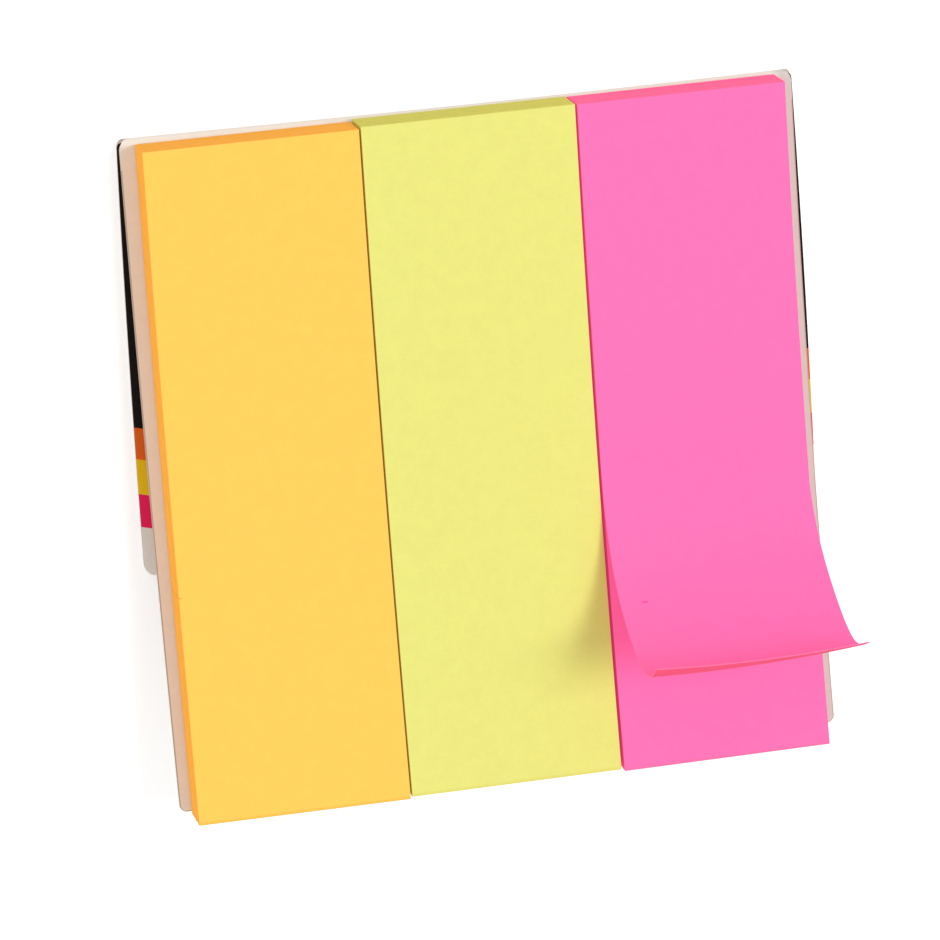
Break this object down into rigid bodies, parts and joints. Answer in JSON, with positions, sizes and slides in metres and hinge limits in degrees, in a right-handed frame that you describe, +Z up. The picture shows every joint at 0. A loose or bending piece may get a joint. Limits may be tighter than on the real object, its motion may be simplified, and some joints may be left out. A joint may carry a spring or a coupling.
{
  "type": "sticky index tabs",
  "caption": "Pads of narrow sticky paper markers in several colours, side by side on a folded card, with one top sheet lifted and curling up.",
  "frame": {"origin": "on the floor, under the middle of the whole object", "axes": "+X across the pads from the orange one to the pink one, +Y along the pads to their glued ends and the card's fold, +Z up"},
  "size_m": [0.0778, 0.0764, 0.0347],
  "materials": {
    "orange_paper": "matte",
    "yellow_paper": "matte",
    "pink_paper": "matte",
    "card": "matte"
  },
  "bodies": {
    "root": {"backing_card": "card", "orange_pad": "orange_paper", "yellow_pad": "yellow_paper", "pink_pad": "pink_paper", "pink_top_sheet": "pink_paper"}
  },
  "joints": []
}
